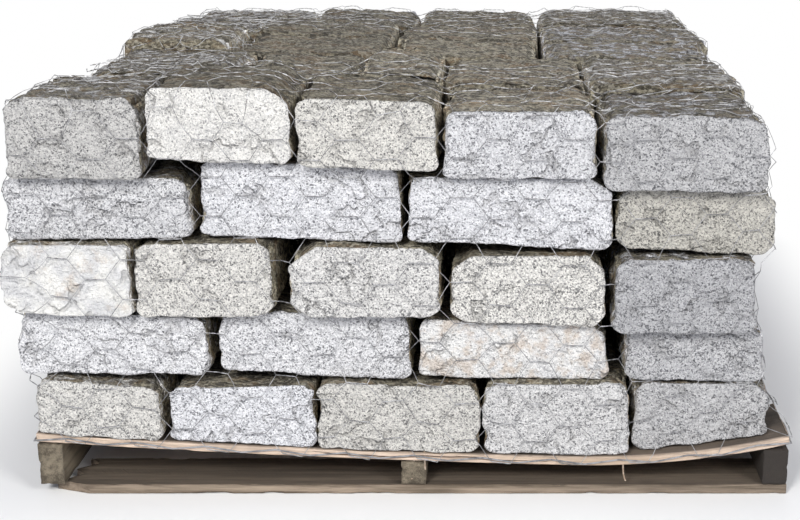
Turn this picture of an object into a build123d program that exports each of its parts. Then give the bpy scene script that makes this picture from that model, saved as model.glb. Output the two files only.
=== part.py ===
from build123d import *
from math import sqrt
import os

os.makedirs("parts", exist_ok=True)

# A timber pallet loaded with five dry-laid courses of rough granite setts.
# All sizes are in millimetres. X runs along the front, Y from front to back
# and Z up from the floor. The origin is on the floor at the pallet's middle.

# Pallet timbers
pallet_width = 1016.0
pallet_length = 1219.0
bottom_board_width = 89.0
bottom_board_thickness = 14.0
stringer_width = 35.0
left_stringer_height = 60.0
middle_stringer_height = 34.0
right_stringer_height = 51.0
deck_board_width = 120.0
deck_board_thickness = 12.0
deck_board_count = 7
deck_clearance = 0.4
lowest_x = 208.0
lowest_underside = 42.4

# Broken left end of the front bottom board
break_reach = 66.0
splinter_lengths = (0.0, 52.0, 18.0, 34.0, 6.0, 24.0)

# Stones
stone_clearance = 0.3
face_chamfer = 6.0
corner_slope = 0.7
side_bulge = 3.0
row_joint = 4.0

# Edge wire of the netting, drawn round the deck
wire_diameter = 2.4
wire_clearance = 0.3
wire_wave = 3.0
wire_wave_pitch = 94.0
wire_lap = 60.0

left_edge = -pallet_width / 2
right_edge = pallet_width / 2
front_edge = -pallet_length / 2
back_edge = pallet_length / 2


# The deck sags in two arcs. The first runs from the left stringer's inner top edge over the
# middle stringer's right one to the lowest place. The second goes on from there, tangent
# to the first, up to the right stringer's inner top edge.
def circle_through(first, second, third):
    (ax, az), (bx, bz), (cx, cz) = first, second, third
    twice_area = 2 * (ax * (bz - cz) + bx * (cz - az) + cx * (az - bz))
    a, b, c = ax**2 + az**2, bx**2 + bz**2, cx**2 + cz**2
    centre_x = (a * (bz - cz) + b * (cz - az) + c * (az - bz)) / twice_area
    centre_z = (a * (cx - bx) + b * (ax - cx) + c * (bx - ax)) / twice_area
    return centre_x, centre_z, sqrt((ax - centre_x) ** 2 + (az - centre_z) ** 2)


def deck_seat(x, stringer_height):
    return x, bottom_board_thickness + stringer_height + deck_clearance


first_x, first_z, first_radius = circle_through(
    deck_seat(left_edge + stringer_width, left_stringer_height),
    deck_seat(stringer_width / 2, middle_stringer_height),
    (lowest_x, lowest_underside),
)
right_seat_x, right_seat_z = deck_seat(right_edge - stringer_width, right_stringer_height)
lean_x = (first_x - lowest_x) / first_radius
lean_z = (first_z - lowest_underside) / first_radius
reach_x, reach_z = right_seat_x - lowest_x, right_seat_z - lowest_underside
second_radius = (reach_x**2 + reach_z**2) / (2 * (reach_x * lean_x + reach_z * lean_z))
second_x = lowest_x + second_radius * lean_x
second_z = lowest_underside + second_radius * lean_z


def meeting_x(thickness):
    return lowest_x + thickness * lean_x


def sag_height(x, thickness):
    # The height of the surface that lies this far above the deck's underside
    if x < meeting_x(thickness):
        return first_z - sqrt((first_radius - thickness) ** 2 - (x - first_x) ** 2)
    return second_z - sqrt((second_radius - thickness) ** 2 - (x - second_x) ** 2)


def deck_underside(x):
    return sag_height(x, 0)


def deck_top(x):
    return sag_height(x, deck_board_thickness)


def upright_plane(y):
    # A plane across the pallet at this depth: its X is the pallet's X and its Y is up.
    return Plane.XZ.offset(-y)


def write(sub_part, name):
    sub_part.part.label = name
    export_step(sub_part.part, f"parts/{name}.step")


# Bottom boards
board_middle_height = bottom_board_thickness / 2
bottom_board_places = {
    "back": back_edge - bottom_board_width / 2,
    "middle": 0,
}
for place, y in bottom_board_places.items():
    with BuildPart() as bottom_board:
        with Locations((0, y, board_middle_height)):
            Box(pallet_width, bottom_board_width, bottom_board_thickness)
    write(bottom_board, f"bottom_board_{place}")

# The front bottom board lost its left end: the splinters are long shallow teeth
with BuildPart() as bottom_board:
    tooth_width = bottom_board_width / (len(splinter_lengths) - 1)
    broken_end = [
        (left_edge + break_reach - reach, front_edge + index * tooth_width)
        for index, reach in enumerate(splinter_lengths)
    ]
    with BuildSketch():
        with BuildLine():
            Polyline(
                *broken_end,
                (right_edge, front_edge + bottom_board_width),
                (right_edge, front_edge),
                close=True,
            )
        make_face()
    extrude(amount=bottom_board_thickness)
write(bottom_board, "bottom_board_front")

# Stringers
stringers = {
    "left": (left_edge + stringer_width / 2, left_stringer_height),
    "middle": (0, middle_stringer_height),
    "right": (right_edge - stringer_width / 2, right_stringer_height),
}
for place, (x, height) in stringers.items():
    with BuildPart() as stringer:
        with Locations((x, 0, bottom_board_thickness)):
            Box(
                stringer_width,
                pallet_length,
                height,
                align=(Align.CENTER, Align.CENTER, Align.MIN),
            )
    write(stringer, f"stringer_{place}")

# Deck boards
deck_board_step = (pallet_length - deck_board_width) / (deck_board_count - 1)
for index in range(deck_board_count):
    board_back = front_edge + deck_board_width + index * deck_board_step
    with BuildPart() as deck_board:
        with BuildSketch(upright_plane(board_back)):
            with BuildLine():
                for thickness in (0, deck_board_thickness):
                    meeting = meeting_x(thickness)
                    for start, end in ((left_edge, meeting), (meeting, right_edge)):
                        places = (start, (start + end) / 2, end)
                        ThreePointArc(*[(x, sag_height(x, thickness)) for x in places])
                for x in (left_edge, right_edge):
                    Line((x, deck_underside(x)), (x, deck_top(x)))
            make_face()
        extrude(amount=deck_board_width)
    write(deck_board, f"deck_board_{index + 1}")


# A stone's section is a box with cut corners and slightly swelling sides. Its length,
# top heights and corner cuts are its own. Its underside lies on what is below it.
class Stone:
    def __init__(self, left, right, front, back, tops, cuts):
        self.left, self.right = left, right
        self.front, self.back = front, back
        self.tops = tops
        self.cuts = cuts
        self.shoulder_left, self.shoulder_right = left + side_bulge, right - side_bulge

    def top_at(self, x):
        share = (x - self.left) / (self.right - self.left)
        return self.tops[0] + share * (self.tops[1] - self.tops[0])

    def top_outline(self):
        high_right, high_left = self.cuts[2:]
        inner_left, inner_right = self.shoulder_left + high_left, self.shoulder_right - high_right
        return [
            (self.shoulder_left, self.top_at(inner_left) - corner_slope * high_left),
            (inner_left, self.top_at(inner_left)),
            (inner_right, self.top_at(inner_right)),
            (self.shoulder_right, self.top_at(inner_right) - corner_slope * high_right),
        ]

    def height_below(self, x):
        points = self.top_outline()
        for (x0, z0), (x1, z1) in zip(points, points[1:]):
            if x0 <= x <= x1:
                return z0 + (z1 - z0) * (x - x0) / (x1 - x0)
        return None

    def rest_on(self, heights, marks):
        # The stone tips until it touches two high places, one on each side of its middle.
        # A drop is how much lower a carrier's rounded end leaves the place of contact.
        low_left, low_right = self.cuts[:2]
        middle = (self.left + self.right) / 2
        inner_left, inner_right = self.shoulder_left + low_left, self.shoulder_right - low_right
        places = [x for x in marks if self.shoulder_left < x < self.shoulder_right]
        places += [self.shoulder_left, inner_left, inner_right, self.shoulder_right]
        seats = []
        for x in places:
            lift = corner_slope * max(0, inner_left - x, x - inner_right)
            found = [(height(x), drop) for height, drop in heights]
            seats += [(x, z - drop - lift) for z, drop in found if z is not None]
        lines = []
        for x0, z0 in seats:
            for x1, z1 in seats:
                if x0 <= middle < x1:
                    slope = (z1 - z0) / (x1 - x0)
                    lines.append((z0 + slope * (middle - x0), slope))
        height, slope = max(lines)
        height += stone_clearance
        self.bottoms = [height + slope * (x - middle) for x in (inner_left, inner_right)]
        self.inner_bottom = (inner_left, inner_right)

    def outline(self):
        low_left, low_right = self.cuts[:2]
        (inner_left, inner_right), (low_start, low_end) = self.inner_bottom, self.bottoms
        top = self.top_outline()
        left_waist = (low_start + corner_slope * low_left + top[0][1]) / 2
        right_waist = (low_end + corner_slope * low_right + top[3][1]) / 2
        return [
            (inner_left, low_start),
            (inner_right, low_end),
            (self.shoulder_right, low_end + corner_slope * low_right),
            (self.right, right_waist),
            *reversed(top),
            (self.left, left_waist),
            (self.shoulder_left, low_start + corner_slope * low_left),
        ]

    def solid(self):
        with BuildPart() as stone:
            with BuildSketch(upright_plane(self.back)):
                with BuildLine():
                    Polyline(*self.outline(), close=True)
                make_face()
            extrude(amount=self.back - self.front)
            ends = stone.faces().filter_by(Axis.Y)
            chamfer(ends.edges(), length=face_chamfer)
        return stone.part


# Each course is levelled to a bedding line that falls to the right. It is given by the
# course's height at the pallet's left and right edge. The course stands back from the deck's
# edge by its setback, and each stone from its row's face by its own. A front stone is its
# width, the joint after it, how far its top stands over the bedding line at each end, and
# the cuts of its corners: lower left, lower right, upper right and upper left.
class Course:
    def __init__(self, rises, left_ends, depths, setback, setbacks, front_stones):
        self.rises = rises
        self.left_ends = left_ends
        self.depths = depths
        self.setback = setback
        self.setbacks = setbacks
        self.front_stones = front_stones


courses = [
    Course(
        rises=(104, 89),
        left_ends=(-506, -498, -510, -502, -507),
        depths=(213, 262, 205, 220, 250),
        setback=0,
        setbacks=(0, 4, 1, 6, 20),
        front_stones=[
            (171, 6, (3, -8), (10, 12, 12, 14)),
            (199, 2, (-10, -2), (12, 10, 12, 12)),
            (218, 5, (-1, 0), (10, 14, 12, 10)),
            (198, 3, (2, 4), (12, 10, 12, 12)),
            (186, 0, (1, 3), (12, 12, 18, 12)),
        ],
    ),
    Course(
        rises=(95, 78),
        left_ends=(-527, -510, -518, -506, -514),
        depths=(235, 260, 205, 220, 210),
        setback=20,
        setbacks=(0, 4, 1, 6),
        front_stones=[
            (255, 12, (-3, -5), (12, 12, 12, 18)),
            (260, 7, (0, 8), (12, 10, 14, 12)),
            (257, 20, (1, 1), (10, 16, 22, 8)),
            (191, 0, (-7, -1), (16, 14, 14, 16)),
        ],
    ),
    Course(
        rises=(95, 103),
        left_ends=(-534, -512, -505, -520, -509),
        depths=(212, 258, 205, 222, 248),
        setback=3,
        setbacks=(0, 4, 1, 6, 3),
        front_stones=[
            (170, 2, (-3, 0), (26, 10, 10, 14)),
            (184, 18, (0, 7), (12, 18, 14, 10)),
            (202, 7, (5, 2), (30, 16, 16, 34)),
            (211, 4, (-6, -2), (26, 22, 24, 26)),
            (192, 0, (-5, -2), (14, 14, 14, 16)),
        ],
    ),
    Course(
        rises=(92, 88),
        left_ends=(-528, -500, -512, -496, -508),
        depths=(228, 222, 255, 210, 205),
        setback=25,
        setbacks=(0, 4, 1, 6),
        front_stones=[
            (244, 7, (-9, -5), (12, 12, 12, 14)),
            (269, 2, (20, 15), (10, 8, 10, 14)),
            (273, 2, (4, 9), (8, 12, 24, 8)),
            (212, 0, (-5, -1), (16, 20, 20, 12)),
        ],
    ),
    Course(
        rises=(98, 95),
        left_ends=(-516, -470, -485, -488, -496),
        depths=(205, 265, 210, 215, 255),
        setback=8,
        setbacks=(0, 4, 1, 6, 3),
        front_stones=[
            (176, 5, (-3, 1), (10, 12, 12, 16)),
            (187, 5, (16, 21), (10, 14, 26, 10)),
            (183, 3, (10, 9), (12, 12, 10, 10)),
            (201, 5, (-3, 2), (10, 12, 14, 10)),
            (214, 0, (-3, 1), (14, 14, 18, 14)),
        ],
    ),
]

# The other rows of the top course show from above, so they have their own stones
top_rows = [
    [
        (206, 4, (0, 3), (12, 12, 14, 12)),
        (171, 4, (2, -2), (10, 12, 12, 12)),
        (117, 4, (13, 12), (10, 12, 14, 10)),
        (202, 5, (1, 4), (12, 10, 12, 14)),
        (224, 0, (8, 6), (12, 14, 12, 12)),
    ],
    [
        (170, 4, (16, 14), (12, 10, 12, 12)),
        (247, 12, (-2, 3), (12, 16, 14, 12)),
        (228, 12, (4, 0), (10, 12, 12, 10)),
        (269, 0, (3, 9), (14, 12, 12, 14)),
    ],
    [
        (166, 4, (2, -3), (12, 10, 12, 12)),
        (248, 5, (5, 2), (12, 12, 10, 12)),
        (248, 5, (-2, 4), (10, 14, 12, 14)),
        (292, 0, (6, 8), (12, 12, 12, 10)),
    ],
    [
        (242, 4, (-17, -10), (14, 12, 12, 14)),
        (206, 5, (-5, -6), (12, 10, 14, 12)),
        (222, 5, (0, 1), (10, 12, 12, 10)),
        (285, 0, (6, 12), (14, 14, 12, 12)),
    ],
]

# A hidden stone has one of these tops
hidden_tops = ((2, -3), (-4, 1), (3, 5), (-1, -5), (5, 0))


def shifted(stones, row):
    # A hidden row has the front row's stones in another order, with other tops.
    turned = stones[row:] + stones[:row]
    if row % 2:
        turned = turned[::-1]
    joint = sum(stone[1] for stone in stones) / (len(stones) - 1)
    tops = [hidden_tops[(row + place) % len(hidden_tops)] for place in range(len(turned))]
    return [
        (width, joint, top, cuts) for (width, _, _, cuts), top in zip(turned, tops)
    ]


def bedding_height(x, heights):
    return heights[0] + (x - left_edge) / pallet_width * (heights[1] - heights[0])


def laid_row(stones, setbacks, left, front, back, heights):
    row = []
    for place, (width, joint, (rise_left, rise_right), cuts) in enumerate(stones):
        right = left + width
        tops = (
            bedding_height(left, heights) + rise_left,
            bedding_height(right, heights) + rise_right,
        )
        setback = setbacks[place % len(setbacks)]
        row.append(Stone(left, right, front + setback, back, tops, cuts))
        left = right + joint
    return row


course_heights = [deck_top(0), deck_top(0)]
below = []
for course_number, course in enumerate(courses, start=1):
    course_heights = [z + rise for z, rise in zip(course_heights, course.rises)]
    row_front = front_edge + course.setback
    laid = []
    for row_number, depth in enumerate(course.depths, start=1):
        stones = course.front_stones
        if row_number > 1 and course is courses[-1]:
            stones = top_rows[row_number - 2]
        elif row_number > 1:
            stones = shifted(course.front_stones, row_number - 1)
        row = laid_row(
            stones,
            course.setbacks,
            course.left_ends[row_number - 1],
            row_front,
            row_front + depth - row_joint,
            course_heights,
        )
        for stone in row:
            heights, marks = [], []
            for other in below:
                bearing = min(stone.back, other.back) - max(stone.front, other.front)
                if bearing > 0:
                    heights.append((other.height_below, max(0, 2 * face_chamfer - bearing)))
                    marks += [x for x, z in other.top_outline()]
            stone.rest_on(heights or [(deck_top, 0)], marks)
        pieces = [stone.solid() for stone in row]
        with BuildPart() as row_of_stones:
            add(pieces)
        write(row_of_stones, f"course_{course_number}_row_{row_number}")
        laid += row
        row_front += depth
    below = laid

# Edge wire: it waves in front of the deck boards' edges and its ends lap at the back
wire_offset = wire_clearance + wire_diameter / 2
wire_left, wire_right = left_edge - wire_offset, right_edge + wire_offset
wire_front, wire_back = front_edge - wire_offset, back_edge + wire_offset


def wire_height(x, index):
    wave = wire_wave if index % 2 else -wire_wave
    within = max(left_edge, min(right_edge, x))
    return (deck_underside(within) + deck_top(within)) / 2 + wave


def waved(start, end):
    # Points along one side, a step apart, from its first corner up to its last
    distance = (end - start).length
    steps = 2 * round(distance / wire_wave_pitch)
    points = [start + (end - start) * (step / steps) for step in range(steps)]
    return [Vector(p.X, p.Y, wire_height(p.X, step)) for step, p in enumerate(points)]


corners = [
    Vector(wire_lap / 2, wire_back, 0),
    Vector(wire_right, wire_back, 0),
    Vector(wire_right, wire_front, 0),
    Vector(wire_left, wire_front, 0),
    Vector(wire_left, wire_back, 0),
    Vector(-wire_lap / 2, wire_back + wire_diameter + wire_clearance, 0),
]
wire_route = []
for start, end in zip(corners, corners[1:]):
    wire_route += waved(start, end)
wire_end = corners[-1]
wire_route.append(Vector(wire_end.X, wire_end.Y, wire_height(wire_end.X, 0)))

with BuildPart() as selvage:
    with BuildLine() as route:
        Polyline(*wire_route)
    with BuildSketch(Plane(origin=route.line @ 0, z_dir=route.line % 0)):
        RegularPolygon(wire_diameter / 2, 6)
    sweep(path=route.line, transition=Transition.RIGHT)
write(selvage, "netting_selvage")
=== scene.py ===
# %% [markdown]
# # A pallet of granite setts in wire netting
# The measured model of the load is loaded first. It gives every stone and every board at
# its real place, in metres, with X along the front, Y to the back and Z up. Each step below
# dresses one kind of piece: the stones, the timber, and the netting that wraps the load.

# %% Load the frame
from math import cos, pi, radians, sin

import bmesh
import bpy
import numpy as np
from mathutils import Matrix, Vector, noise
from mathutils.bvhtree import BVHTree


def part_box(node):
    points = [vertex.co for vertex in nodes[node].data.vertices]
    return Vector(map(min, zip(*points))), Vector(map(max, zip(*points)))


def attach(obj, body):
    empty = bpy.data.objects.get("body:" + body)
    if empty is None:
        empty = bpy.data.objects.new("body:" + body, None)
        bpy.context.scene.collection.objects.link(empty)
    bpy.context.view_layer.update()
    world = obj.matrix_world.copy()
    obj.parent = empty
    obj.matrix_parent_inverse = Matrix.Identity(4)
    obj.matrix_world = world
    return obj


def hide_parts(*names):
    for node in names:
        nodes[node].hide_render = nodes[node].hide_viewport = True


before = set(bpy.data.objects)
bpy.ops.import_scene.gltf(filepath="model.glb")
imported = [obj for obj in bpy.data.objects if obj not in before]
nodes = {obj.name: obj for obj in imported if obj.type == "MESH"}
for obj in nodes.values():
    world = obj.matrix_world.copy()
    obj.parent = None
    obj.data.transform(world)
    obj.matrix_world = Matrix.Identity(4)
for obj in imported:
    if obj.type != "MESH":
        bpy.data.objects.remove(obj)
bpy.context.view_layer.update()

mm = 0.001

# %% [markdown]
# ## Camera
# The photograph was taken at chest height from in front of the pallet and a little to its
# right, looking down by sixteen degrees. Its vanishing point lies right of the picture's
# middle, so the lens is shifted sideways instead of turning the camera.

# %% Camera
PICTURE_WIDTH = 800
PICTURE_MIDDLE = 400
AXIS_PIXEL = 505
FOCAL_PIXELS = 1400
SENSOR = 36.0
CAMERA_PLACE = (0.124, -2.3515, 0.843)
LOOK_DOWN = 16.33

camera_data = bpy.data.cameras.new("camera")
camera_data.sensor_width = SENSOR
camera_data.lens = FOCAL_PIXELS / PICTURE_WIDTH * SENSOR
camera_data.shift_x = (PICTURE_MIDDLE - AXIS_PIXEL) / PICTURE_WIDTH
camera = bpy.data.objects.new("camera", camera_data)
camera.location = CAMERA_PLACE
camera.rotation_euler = (radians(90 - LOOK_DOWN), 0, 0)
scene = bpy.context.scene
scene.collection.objects.link(camera)
scene.camera = camera
print("lens", camera_data.lens, "mm, shift", camera_data.shift_x)

# %% [markdown]
# ## Lamps
# The load was photographed in soft daylight, with no hard shadow between the stones. Area
# lamps a metre or two wide give such light, where a sun lamp would draw each wire's shadow.
# The stronger one stands to the left and one to the right evens it out, and a third behind
# the load keeps its far side from going black. Granite shows its true colour in the plain
# Standard view.

# %% Lamps
scene.view_settings.view_transform = "Standard"
SUN_TINT = (1.02, 1.01, 0.97)
LOAD_MIDDLE = (0, 0, 0.25)
LOAD_UPPER_HALF = (0, 0, 0.3)


def lamp(name, size, power, place, target):
    data = bpy.data.lights.new(name, "AREA")
    data.size = size
    data.energy = power
    data.color = SUN_TINT
    light = bpy.data.objects.new(name, data)
    light.location = place
    light.rotation_euler = (Vector(target) - Vector(place)).to_track_quat("-Z", "Y").to_euler()
    scene.collection.objects.link(light)
    return light


lamps = [
    lamp("key", 1.0, 101, (-1.1, -3.3, 2.3), LOAD_MIDDLE),
    lamp("fill", 1.2, 65, (2.2, -2.9, 2.0), LOAD_MIDDLE),
    lamp("back", 2.0, 30, (0.5, 3.0, 2.4), LOAD_UPPER_HALF),
]
print("lamps:", {light.name: f"{light.data.energy:g} W" for light in lamps})

# %% [markdown]
# ## Signals
# Surface patterns and mesh rules are both node trees. A small class wraps a socket, so that
# a pattern can be written as a sum: each plus or times adds the Math node that it stands for.

# %% Signals
class Signal:
    """The output of a node. Arithmetic on signals adds Math nodes to their tree."""

    def __init__(self, tree, socket=None):
        self.tree = tree
        self.socket = socket

    def node(self, kind, settings=None, inputs=None, output=0):
        made = self.tree.nodes.new(kind)
        for name, value in (settings or {}).items():
            setattr(made, name, value)
        for key, value in (inputs or {}).items():
            if isinstance(value, Signal):
                self.tree.links.new(value.socket, made.inputs[key])
            elif isinstance(value, list):
                for each in value:
                    self.tree.links.new(each.socket, made.inputs[key])
            else:
                made.inputs[key].default_value = value
        return Signal(self.tree, made.outputs[output] if made.outputs else None)

    def maths(self, operation, first, second):
        return self.node("ShaderNodeMath", {"operation": operation}, {0: first, 1: second})

    def __add__(self, other):
        return self.maths("ADD", self, other)

    __radd__ = __add__

    def __sub__(self, other):
        return self.maths("SUBTRACT", self, other)

    def __rsub__(self, other):
        return self.maths("SUBTRACT", other, self)

    def __mul__(self, other):
        return self.maths("MULTIPLY", self, other)

    __rmul__ = __mul__

    def vector(self, operation, inputs):
        return self.node("ShaderNodeVectorMath", {"operation": operation}, inputs)

    def between(self, low, high):
        """0 below low, 1 above high, and a smooth step from one to the other."""
        return self.node(
            "ShaderNodeMapRange",
            {"interpolation_type": "SMOOTHSTEP"},
            {"Value": self, "From Min": low, "From Max": high},
        )

    def mix(self, first, second):
        """This signal is the share of the second colour."""
        return self.node("ShaderNodeMix", {"data_type": "RGBA"}, {0: self, 6: first, 7: second}, 2)

    def tinted(self, tint):
        return self.node(
            "ShaderNodeMix",
            {"data_type": "RGBA", "blend_type": "MULTIPLY"},
            {0: 1.0, 6: self, 7: tint},
            2,
        )

    def noise(self, size, detail=2.0, rough=0.5, output=0):
        """A cloudy pattern about as coarse as size, in metres; this signal is the place."""
        return self.node(
            "ShaderNodeTexNoise",
            {},
            {"Vector": self, "Scale": 1 / size, "Detail": detail, "Roughness": rough},
            output,
        )

    def grains(self, size, channel=0):
        """One random value for each grain of about this size; this signal is the place."""
        colour = self.node("ShaderNodeTexVoronoi", {}, {"Vector": self, "Scale": 1 / size}, 1)
        return colour.node("ShaderNodeSeparateColor", {}, {0: colour}, channel)

    def stirred(self, size, reach):
        """The place pushed about by a noise, so that grains drawn there have no straight sides."""
        push = self.noise(size, output=1)
        return self.vector("MULTIPLY_ADD", {0: push, 1: (reach, reach, reach), 2: self})

    def attribute(self, name, output=2):
        """A value that the mesh keeps at its points, as a material reads it."""
        return self.node("ShaderNodeAttribute", {"attribute_name": name}, {}, output)

    def stored(self, name, kind="FLOAT"):
        """A value that the mesh keeps at its points, as a geometry tree reads it."""
        return self.node(
            "GeometryNodeInputNamedAttribute", {"data_type": kind}, {"Name": name}
        )


# %% [markdown]
# ## Helpers for materials and trees
# Each material is one Principled shader: colour, roughness and a bump. Each tree takes its
# sizes by name and ends by realising its instances and setting its material. The result is
# kept as a plain mesh, so that nothing has to be worked out again in another program.

# %% Helpers for materials and trees
def new_material(name):
    made = bpy.data.materials.new(name)
    made.use_nodes = True
    made.node_tree.nodes.clear()
    return made, Signal(made.node_tree)


def surface(paper, colour, roughness, height, depth, metallic=0.0, specular=0.5):
    """Ends a material: one shader, with a bump of this depth in metres."""
    bump = paper.node("ShaderNodeBump", {}, {"Strength": 1.0, "Distance": depth, "Height": height})
    shader = paper.node(
        "ShaderNodeBsdfPrincipled",
        {},
        {
            "Base Color": colour,
            "Roughness": roughness,
            "Metallic": metallic,
            "Specular IOR Level": specular,
            "Normal": bump,
        },
    )
    paper.node("ShaderNodeOutputMaterial", {}, {"Surface": shader})


def new_tree(name, sizes):
    """A geometry tree, the paper to draw its nodes on, and its inputs by name."""
    tree = bpy.data.node_groups.new(name, "GeometryNodeTree")
    kinds = {"Geometry": "NodeSocketGeometry", "Material": "NodeSocketMaterial"}
    names = ["Geometry", *sizes, "Material"]
    for each in names:
        kind = kinds.get(each, "NodeSocketFloat")
        tree.interface.new_socket(each, in_out="INPUT", socket_type=kind)
    tree.interface.new_socket("Geometry", in_out="OUTPUT", socket_type="NodeSocketGeometry")
    entry = tree.nodes.new("NodeGroupInput")
    return tree, Signal(tree), {each: Signal(tree, entry.outputs[each]) for each in names}


def end_tree(paper, geometry, material):
    """Ends a tree: its instances are made real and get their material."""
    shaded = paper.node("GeometryNodeSetShadeSmooth", {}, {"Geometry": geometry})
    realised = paper.node("GeometryNodeRealizeInstances", {}, {"Geometry": shaded})
    dressed = paper.node(
        "GeometryNodeSetMaterial", {}, {"Geometry": realised, "Material": material}
    )
    paper.tree.links.new(dressed.socket, paper.tree.nodes.new("NodeGroupOutput").inputs[0])
    print("tree:", paper.tree.name, "has", len(paper.tree.nodes), "nodes")


def end_pressed_tree(paper, sizes, depth):
    """Ends a tree that presses the surface in by a depth that varies over it."""
    normal = paper.node("GeometryNodeInputNormal")
    offset = paper.vector("SCALE", {0: normal, "Scale": depth * -1})
    moved = paper.node(
        "GeometryNodeSetPosition", {}, {"Geometry": sizes["Geometry"], "Offset": offset}
    )
    end_tree(paper, moved, sizes["Material"])


def applied(piece, tree, values):
    """Runs a tree on a piece, keeps the result as a plain mesh and drops the modifier."""
    modifier = piece.modifiers.new("tree", "NODES")
    modifier.node_group = tree
    for item in tree.interface.items_tree:
        if item.in_out == "INPUT" and item.name in values:
            modifier[item.identifier] = values[item.name]
    bpy.context.view_layer.update()
    seen = piece.evaluated_get(bpy.context.evaluated_depsgraph_get())
    made = bpy.data.meshes.new_from_object(seen)
    piece.modifiers.clear()
    piece.data = made


def new_piece(name, points, faces, edges=()):
    """A mesh object at the origin, with its place in its points."""
    mesh = bpy.data.meshes.new(name)
    mesh.from_pydata(np.asarray(points).tolist(), list(edges), faces)
    piece = bpy.data.objects.new(name, mesh)
    scene.collection.objects.link(piece)
    return piece


def print_triangles(title, pieces):
    counts = [sum(len(face.vertices) - 2 for face in piece.data.polygons) for piece in pieces]
    print(title, "-", sum(counts), "triangles, at most", max(counts), "in one piece")


def add_values(piece, name, values, kind="FLOAT"):
    """Keeps one value at each point of a piece."""
    layer = piece.data.attributes.new(name, kind, "POINT")
    field = "vector" if kind == "FLOAT_VECTOR" else "value"
    layer.data.foreach_set(field, np.asarray(values, np.float32).ravel())


# %% [markdown]
# ## Floor and background
# The load stands on a pale studio floor that fades into white. The fade is in what the
# camera and the reflections see, so no extra light falls on the stones, and near the
# pallet the floor stays an ordinary surface that holds the shadow.

# %% Floor and background
FLOOR_PALE = (0.86, 0.86, 0.86, 1)
WHITE = (1, 1, 1, 1)
FLOOR_SIZE = 40
LOAD_HALF = (0.53, 0.62, 2.0)
FADE_FROM, FADE_TO = 0.02, 0.26
WORLD_LIGHT = 0.36
SKY_TINT = (0.90, 0.95, 1.14, 1)


def seen_directly(paper):
    """1 for rays from the camera, in a reflection or through glass."""
    path = paper.tree.nodes.new("ShaderNodeLightPath").outputs
    rays = ("Is Camera Ray", "Is Glossy Ray", "Is Transmission Ray")
    seen = [Signal(paper.tree, path[name]) for name in rays]
    return paper.maths("MAXIMUM", paper.maths("MAXIMUM", seen[0], seen[1]), seen[2])


bpy.ops.mesh.primitive_plane_add(size=FLOOR_SIZE, location=(0, 0, 0))
floor = bpy.context.object
floor.name = "floor"
floor_material, paper = new_material("floor")
place = paper.node("ShaderNodeTexCoord", output=3)
beyond = paper.vector("SUBTRACT", {0: paper.vector("ABSOLUTE", {0: place}), 1: LOAD_HALF})
beyond = paper.vector("MAXIMUM", {0: beyond, 1: (0, 0, 0)})
distance = paper.node("ShaderNodeVectorMath", {"operation": "LENGTH"}, {0: beyond}, 1)
fade = distance.between(FADE_FROM, FADE_TO) * seen_directly(paper)
plain = paper.node("ShaderNodeBsdfDiffuse", {}, {"Color": FLOOR_PALE})
white = paper.node("ShaderNodeEmission", {}, {"Color": WHITE, "Strength": 1.0})
mixed = paper.node("ShaderNodeMixShader", {}, {0: fade, 1: plain, 2: white})
paper.node("ShaderNodeOutputMaterial", {}, {"Surface": mixed})
floor.data.materials.append(floor_material)
print("the floor fades to white from", FADE_FROM, "to", FADE_TO, "m away from the load")

# %% Sky
world = bpy.data.worlds.new("world")
scene.world = world
world.use_nodes = True
world.node_tree.nodes.clear()
paper = Signal(world.node_tree)
light, white = (
    paper.node("ShaderNodeBackground", {}, {"Color": tint, "Strength": strength})
    for tint, strength in ((SKY_TINT, WORLD_LIGHT), (WHITE, 1.0))
)
mixed = paper.node("ShaderNodeMixShader", {}, {0: seen_directly(paper), 1: light, 2: white})
paper.node("ShaderNodeOutputWorld", {}, {"Surface": mixed})
print("the sky lights the load at", WORLD_LIGHT, "and is seen as white")

# %% [markdown]
# ## Granite
# The split faces are pale feldspar and grey quartz in grains of a few millimetres, with flakes of
# black mica. Each stone has its own tint, and the bedding and side faces are brown with dirt and
# darkened further as painted shade. The grains are Voronoi cells, because crystals have clear
# edges. Two functions paint the split face and the weathered, shaded face, and a third one joins
# them.

# %% Colours of granite
WHITE_FELDSPAR = (0.86, 0.855, 0.84, 1)
GREY_QUARTZ = (0.53, 0.53, 0.535, 1)
BLACK_MICA = (0.062, 0.066, 0.075, 1)
BLUE_CLOUD = (0.655, 0.66, 0.69, 1)
COOL_TINT = (0.94, 0.945, 1.0, 1)
WARM_TINT = (1.0, 0.965, 0.89, 1)
# The weathered colours are dirt, made darker than the dirt itself as painted shade on tops,
# flanks, undersides and inner ends.
WEATHER_AND_SHADE_PALE = (0.37, 0.33, 0.235, 1)
WEATHER_AND_SHADE_DARK = (0.055, 0.045, 0.028, 1)
EARTH = (0.25, 0.16, 0.075, 1)
DUSTY_GRAIN = (0.56, 0.52, 0.42, 1)
RUST = (0.47, 0.34, 0.23, 1)
CRYSTAL, FINE_CRYSTAL, CLOD = 0.0022, 0.0013, 0.0042
MICA_SHARE, DUST_SHARE = 0.70, 0.60
print(f"crystals of {CRYSTAL / mm:.1f} and {FINE_CRYSTAL / mm:.1f} mm")

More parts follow.
